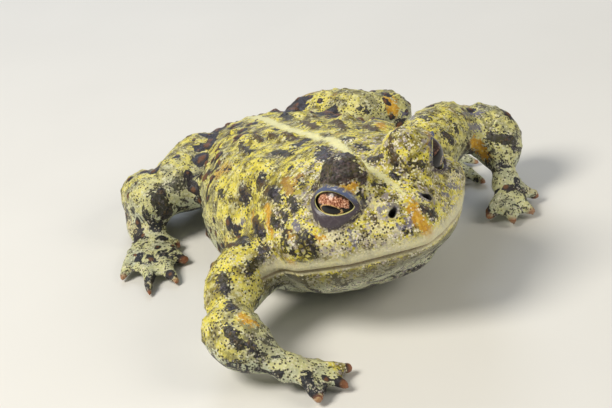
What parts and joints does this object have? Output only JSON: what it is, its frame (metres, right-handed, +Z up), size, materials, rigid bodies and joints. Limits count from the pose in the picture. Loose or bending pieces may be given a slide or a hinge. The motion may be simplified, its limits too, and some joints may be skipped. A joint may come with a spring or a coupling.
{
  "type": "boreal toad",
  "caption": "Warty toad at rest with its belly on the ground, its head turned a little to its left, bulging eyelids, bent arms and folded hind legs.",
  "frame": {"origin": "on the floor, on the flat of the belly under the middle of the trunk", "axes": "+Z up; +Y from the head to the vent along the trunk, so the toad faces -Y and its left is +X"},
  "size_m": [0.0721, 0.086, 0.0287],
  "materials": {
    "torso": "satin",
    "head": "satin",
    "lower_jaw": "satin",
    "eye_left": "gloss",
    "eye_right": "gloss",
    "upper_arm_right": "satin",
    "upper_arm_left": "satin",
    "forearm_right": "satin",
    "forearm_left": "satin",
    "hand_right": "satin",
    "hand_left": "satin",
    "thigh_right": "satin",
    "thigh_left": "satin",
    "shank_right": "satin",
    "shank_left": "satin",
    "foot_right": "satin",
    "foot_left": "satin"
  },
  "bodies": {
    "root": {"torso": "torso", "head": "head", "lower_jaw": "lower_jaw", "eye_left": "eye_left", "eye_right": "eye_right", "upper_arm_right": "upper_arm_right", "upper_arm_left": "upper_arm_left", "forearm_right": "forearm_right", "forearm_left": "forearm_left", "hand_right": "hand_right", "hand_left": "hand_left", "thigh_right": "thigh_right", "thigh_left": "thigh_left", "shank_right": "shank_right", "shank_left": "shank_left", "foot_right": "foot_right", "foot_left": "foot_left"}
  },
  "joints": []
}
